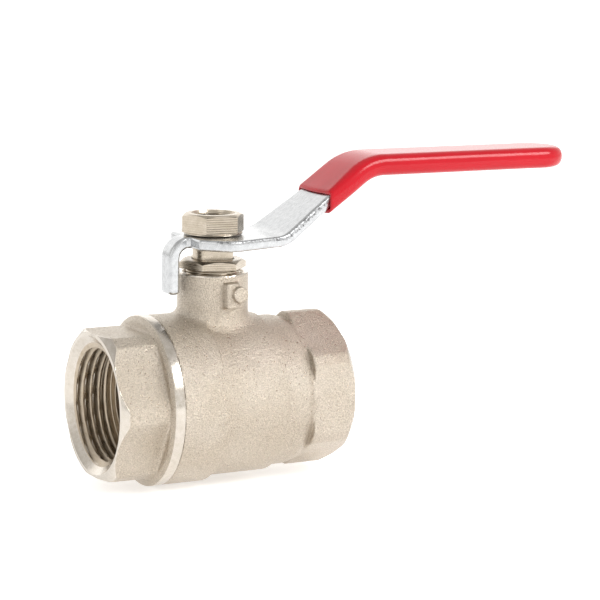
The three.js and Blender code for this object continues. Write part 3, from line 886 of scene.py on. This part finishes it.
# ---------- materials ----------
class Graph:
    """A material's nodes, added with short calls."""

    def __init__(self, name):
        self.material = bpy.data.materials.new(name)
        self.material.use_nodes = True
        self.nodes = self.material.node_tree.nodes
        self.links = self.material.node_tree.links
        self.shader = next(n for n in self.nodes if n.type == "BSDF_PRINCIPLED")
        self.place = self.nodes.new("ShaderNodeTexCoord").outputs["Object"]

    def add(self, kind, inputs=(), **settings):
        node = self.nodes.new(kind)
        for key, value in settings.items():
            setattr(node, key, value)
        for key, value in dict(inputs).items():
            self.feed(node.inputs[key], value)
        return node

    def feed(self, socket, value):
        if isinstance(value, bpy.types.NodeSocket):
            self.links.new(value, socket)
        else:
            socket.default_value = value

    def noise(self, size_mm, detail=2.0, stretch=(1, 1, 1), roughness=0.5):
        """Noise whose features are about size_mm across, stretched along each axis."""
        scale = [1 / (size_mm * MM * s) for s in stretch]
        mapped = self.add("ShaderNodeMapping", {"Vector": self.place, "Scale": scale})
        made = self.add("ShaderNodeTexNoise", {"Vector": mapped.outputs[0], "Scale": 1.0,
                                               "Detail": detail, "Roughness": roughness})
        return made.outputs[0]

    def span(self, source, low, high, from_low=0.3, from_high=0.7):
        """The source's range stretched onto low to high."""
        made = self.add("ShaderNodeMapRange", {"Value": source, "From Min": from_low,
                                               "From Max": from_high, "To Min": low,
                                               "To Max": high})
        return made.outputs[0]

    def blend(self, share, low, high):
        """Colour from low to high as share goes from 0 to 1."""
        made = self.add("ShaderNodeMix", data_type="RGBA")
        self.feed(made.inputs["Factor"], share)
        colours = [s for s in made.inputs if s.type == "RGBA"]
        self.feed(colours[0], low)
        self.feed(colours[1], high)
        return next(s for s in made.outputs if s.type == "RGBA")

    def maths(self, operation, *values):
        made = self.add("ShaderNodeMath", operation=operation)
        for socket, value in zip(made.inputs, values):
            self.feed(socket, value)
        return made.outputs[0]

    def bump(self, height, depth_mm, strength=1.0, under=None):
        inputs = {"Height": height, "Distance": depth_mm * MM, "Strength": strength}
        if under is not None:
            inputs["Normal"] = under
        return self.add("ShaderNodeBump", inputs).outputs[0]

    def finish(self, **sockets):
        for name, value in sockets.items():
            self.feed(self.shader.inputs[name.replace("_", " ")], value)
        return self.material


def cast_nickel_material():
    """Nickel over a sand-blasted brass forging: fine sparkling grain and soft colour drift."""
    g = Graph("cast_nickel")
    grain = g.noise(0.3, detail=2.0, roughness=0.6)
    speck = g.noise(0.75, detail=1.0)
    drift = g.noise(14.0)
    pits = g.blend(g.span(drift, 0, 1), (0.38, 0.325, 0.26, 1), (0.44, 0.385, 0.32, 1))
    peaks = g.blend(g.span(drift, 0, 1), (0.67, 0.59, 0.49, 1), (0.72, 0.65, 0.56, 1))
    colour = g.blend(g.span(grain, 0, 1, 0.32, 0.68), pits, peaks)
    rough = g.span(speck, 0.27, 0.4)
    normal = g.bump(g.maths("ADD", grain, g.maths("MULTIPLY", speck, 0.6)), 0.3, 1.0)
    return g.finish(Base_Color=colour, Metallic=1.0, Roughness=rough, Normal=normal)


def turned_nickel_material():
    """Nickel over turned brass, with the lathe's fine rings about the port axis."""
    g = Graph("turned_nickel")
    rings = g.noise(0.16, detail=1.0, stretch=(1, 40, 40))
    spots = g.noise(1.3, detail=3.0)
    colour = g.blend(g.span(spots, 0, 1), (0.58, 0.53, 0.46, 1), (0.66, 0.61, 0.55, 1))
    normal = g.bump(rings, 0.01, 0.5, under=g.bump(spots, 0.02, 0.3))
    rough = g.span(spots, 0.16, 0.26)
    return g.finish(Base_Color=colour, Metallic=1.0, Roughness=rough, Normal=normal)


def tapped_nickel_material():
    """Nickel over tapped brass: browner and rougher than the turned faces."""
    g = Graph("tapped_nickel")
    tears = g.noise(0.35, detail=3.0, stretch=(1, 6, 6))
    colour = g.blend(g.span(tears, 0, 1), (0.40, 0.33, 0.245, 1), (0.54, 0.465, 0.37, 1))
    return g.finish(Base_Color=colour, Metallic=1.0, Roughness=g.span(tears, 0.26, 0.4),
                    Normal=g.bump(tears, 0.04, 0.6))


def worn_brass_material():
    """Corner where the nickel has rubbed through to the brass."""
    g = Graph("worn_brass")
    patches = g.noise(0.5, detail=3.0)
    colour = g.blend(g.span(patches, 0, 1), (0.50, 0.38, 0.15, 1), (0.62, 0.56, 0.46, 1))
    return g.finish(Base_Color=colour, Metallic=1.0, Roughness=g.span(patches, 0.2, 0.35),
                    Normal=g.bump(patches, 0.03, 0.5))


def milled_nickel_material(name, painted_groove_shade):
    """Nickel over milled brass; painted_groove_shade paints shade between the tool ridges as dark
    level lines, as far apart as the ridges.
    """
    g = Graph(name)
    lines = g.noise(0.2, detail=1.0, stretch=(60, 60, 1))
    spots = g.noise(1.6, detail=3.0)
    colour = g.blend(g.span(spots, 0, 1), (0.50, 0.435, 0.345, 1), (0.60, 0.53, 0.44, 1))
    per_line = 1 / (MILL_LINE_PITCH * MM)
    level_axis = g.add("ShaderNodeMapping", {"Vector": g.place, "Scale": [0, 0, per_line]})
    wave = g.add("ShaderNodeTexWave", {"Vector": level_axis.outputs[0], "Scale": 0.314},
                 bands_direction="Z")
    # painted shade: dark level lines where the ridges' shade falls
    groove_shade = g.span(wave.outputs[1], painted_groove_shade, 0, 0.1, 0.5)
    colour = g.blend(groove_shade, colour, (0.16, 0.13, 0.1, 1))
    normal = g.bump(lines, 0.02, 0.6, under=g.bump(spots, 0.02, 0.4))
    rough = g.span(lines, 0.22, 0.36)
    return g.finish(Base_Color=colour, Metallic=1.0, Roughness=rough, Normal=normal)


def zinc_steel_material():
    """Zinc-plated sheet steel: pale, with a faint rolled grain and a slightly uneven surface."""
    g = Graph("zinc_steel")
    rolled = g.noise(0.5, detail=3.0, stretch=(12, 1, 12))
    dents = g.noise(1.1, detail=2.0)
    colour = g.blend(g.span(dents, 0, 1), (0.50, 0.51, 0.52, 1), (0.60, 0.61, 0.62, 1))
    normal = g.bump(rolled, 0.012, 0.3, under=g.bump(dents, 0.02, 0.2))
    rough = g.span(rolled, 0.2, 0.3)
    return g.finish(Base_Color=colour, Metallic=1.0, Roughness=rough, Normal=normal)


def torn_steel_and_painted_reflection_material():
    """The same plating over the torn band of the sheared edge, darkened partly by the tear and partly
    as a painted dark reflection.
    """
    g = Graph("torn_steel_and_painted_reflection")
    tears = g.noise(0.45, detail=3.0, stretch=(1.5, 1, 1.5))
    # painted dark reflection: the darkest patches also stand in for the dark band that the upper edge
    # reflects
    colour = g.blend(g.span(tears, 0, 1, 0.35, 0.6), (0.16, 0.16, 0.165, 1), (0.55, 0.56, 0.57, 1))
    return g.finish(Base_Color=colour, Metallic=1.0, Roughness=g.span(tears, 0.45, 0.3),
                    Normal=g.bump(tears, 0.08, 0.8))


def red_vinyl_material():
    """Dipped red PVC: glossy, with the slow ripple of a dipped coat."""
    g = Graph("red_vinyl")
    ripple = g.noise(7.0, detail=1.0, stretch=(2.5, 1, 1))
    pores = g.noise(0.5, detail=2.0)
    colour = g.blend(g.span(ripple, 0, 1), (0.46, 0.003, 0.011, 1), (0.52, 0.005, 0.015, 1))
    normal = g.bump(ripple, 0.12, 0.5, under=g.bump(pores, 0.006, 0.4))
    rough = g.span(pores, 0.15, 0.22)
    return g.finish(Base_Color=colour, Roughness=rough, Normal=normal, IOR=1.5,
                    Specular_IOR_Level=0.33)


def polished_chrome_material():
    """Hard chrome on the ball, with a faint haze."""
    g = Graph("polished_chrome")
    haze = g.noise(2.0, detail=3.0)
    colour = g.blend(g.span(haze, 0, 1), (0.78, 0.78, 0.79, 1), (0.83, 0.83, 0.84, 1))
    normal = g.bump(haze, 0.004, 0.3)
    return g.finish(Base_Color=colour, Metallic=1.0, Roughness=g.span(haze, 0.06, 0.12),
                    Normal=normal)


def ptfe_material():
    """White PTFE: waxy and slightly cloudy."""
    g = Graph("ptfe")
    cloud = g.noise(1.5, detail=3.0)
    colour = g.blend(g.span(cloud, 0, 1), (0.82, 0.82, 0.79, 1), (0.89, 0.89, 0.87, 1))
    return g.finish(Base_Color=colour, Roughness=g.span(cloud, 0.45, 0.6), IOR=1.35,
                    Normal=g.bump(cloud, 0.01, 0.4))


def rubber_material():
    """Black seal rubber with a dull bloom."""
    g = Graph("rubber")
    bloom = g.noise(0.6, detail=3.0)
    colour = g.blend(g.span(bloom, 0, 1), (0.010, 0.010, 0.011, 1), (0.022, 0.022, 0.023, 1))
    return g.finish(Base_Color=colour, Roughness=g.span(bloom, 0.45, 0.65),
                    Normal=g.bump(bloom, 0.01, 0.4))


def floor_material():
    """White table, lit enough by itself to stay white round the valve."""
    g = Graph("white_floor")
    return g.finish(Base_Color=(0.9, 0.9, 0.9, 1), Roughness=0.9,
                    Emission_Color=(1.0, 1.0, 1.0, 1), Emission_Strength=0.5)


# ---------- stage ----------
def camera():
    """Camera at the photograph's angle: yaw about Z, then pitch down, then a slight roll."""
    yaw, pitch, roll = math.radians(27.9), math.radians(9.41), math.radians(0.75)
    aim = Vector((26.73, 0, 24.19)) * MM
    distance = 643.1 * MM
    forward = Vector((math.sin(yaw) * math.cos(pitch), math.cos(yaw) * math.cos(pitch),
                      -math.sin(pitch)))
    level_right = Vector((math.cos(yaw), -math.sin(yaw), 0))
    level_up = level_right.cross(forward)
    right = level_right * math.cos(roll) + level_up * math.sin(roll)
    up = level_up * math.cos(roll) - level_right * math.sin(roll)
    data = bpy.data.cameras.new("camera")
    data.sensor_width = 36
    data.lens = 140.1
    data.clip_end = 100
    view = bpy.data.objects.new("camera", data)
    bpy.context.scene.collection.objects.link(view)
    where = aim - forward * distance
    view.matrix_world = Matrix.Translation(where) @ Matrix((right, up, -forward)).transposed(
    ).to_4x4()
    bpy.context.scene.camera = view


def softbox(name, towards, distance, size, power):
    """Area light that faces the valve from the direction towards, at a distance in metres."""
    data = bpy.data.lights.new(name, "AREA")
    data.shape = "RECTANGLE"
    data.size, data.size_y = size
    data.energy = power
    light = bpy.data.objects.new(name, data)
    bpy.context.scene.collection.objects.link(light)
    way = Vector(towards).normalized()
    light.location = way * distance
    light.rotation_euler = way.to_track_quat("Z", "Y").to_euler()


def floor():
    """Floor just under the barrel, 30 m square."""
    reach, gap = 15000.0, 0.05
    points = np.array([[-1, -1, 0], [1, -1, 0], [1, 1, 0], [-1, 1, 0]]) * reach
    points[:, 2] = FLOOR_Z - gap
    new_piece("floor", points, [[0, 1, 2, 3]], [floor_material()])


def world():
    """Pale room: white low down, greyer overhead."""
    made = bpy.data.worlds.new("room")
    bpy.context.scene.world = made
    made.use_nodes = True
    nodes, links = made.node_tree.nodes, made.node_tree.links
    place = nodes.new("ShaderNodeTexCoord")
    split = nodes.new("ShaderNodeSeparateXYZ")
    ramp = nodes.new("ShaderNodeValToRGB")
    links.new(place.outputs["Generated"], split.inputs[0])
    links.new(split.outputs["Z"], ramp.inputs[0])
    stops = [(0.0, 0.7), (0.1, 1.1), (0.35, 0.85), (0.8, 0.6), (1.0, 0.75)]  # height, grey
    warmth = (1, 0.985, 0.96)
    while len(ramp.color_ramp.elements) < len(stops):
        ramp.color_ramp.elements.new(0.5)
    for element, (height, grey) in zip(ramp.color_ramp.elements, stops):
        element.position = height
        element.color = [grey * share for share in warmth] + [1]
    links.new(ramp.outputs[0], nodes["Background"].inputs[0])


bpy.context.scene.view_settings.view_transform = "Standard"
camera()
floor()
world()
softbox("front_softbox", (0.46, -0.62, 0.58), 0.9, (0.5, 0.3), 4.2)
softbox("left_fill", (-0.9, -0.35, 0.5), 1.2, (0.5, 0.7), 0.8)
softbox("back_panel", (0.15, 0.87, 0.36), 1.4, (2.0, 0.8), 3.2)

cast_nickel = cast_nickel_material()
turned_nickel = turned_nickel_material()
milled_nickel = milled_nickel_material("milled_nickel", 0.0)
# milled nickel with painted shade in dark lines between the tool ridges
nickel_painted_groove_shade = milled_nickel_material("nickel_painted_groove_shade", 0.8)
tapped_nickel = tapped_nickel_material()
worn_brass = worn_brass_material()
zinc_steel = zinc_steel_material()
torn_steel_and_painted_reflection = torn_steel_and_painted_reflection_material()
red_vinyl = red_vinyl_material()
polished_chrome = polished_chrome_material()
ptfe = ptfe_material()
rubber = rubber_material()

valve_body()
end_cap()
ball()
for side in (-1, 1):
    seat_ring(side)
round_ring("body_seal_moulded", "body_seal_ring", "housing", SEAL_MID_R, SEAL_SECTION_R, SEAL_X,
           about_x)
for place in ("lower", "upper"):
    ring_lo, ring_hi = extent(f"stem_o_ring_{place}")
    section_r = (ring_hi[2] - ring_lo[2]) / 2
    round_ring(f"o_ring_{place}_moulded", f"stem_o_ring_{place}", "lever_and_stem",
               ring_hi[0] - section_r, section_r, (ring_lo[2] + ring_hi[2]) / 2, about_z)
    flat_ring(f"packing_{place}_pressed", f"packing_ring_{place}", 0.2)
flat_ring("thrust_washer_pressed", "stem_thrust_washer", 0.15)
stem()
gland_nut()
lever_nut()
lever()
lever_grip()
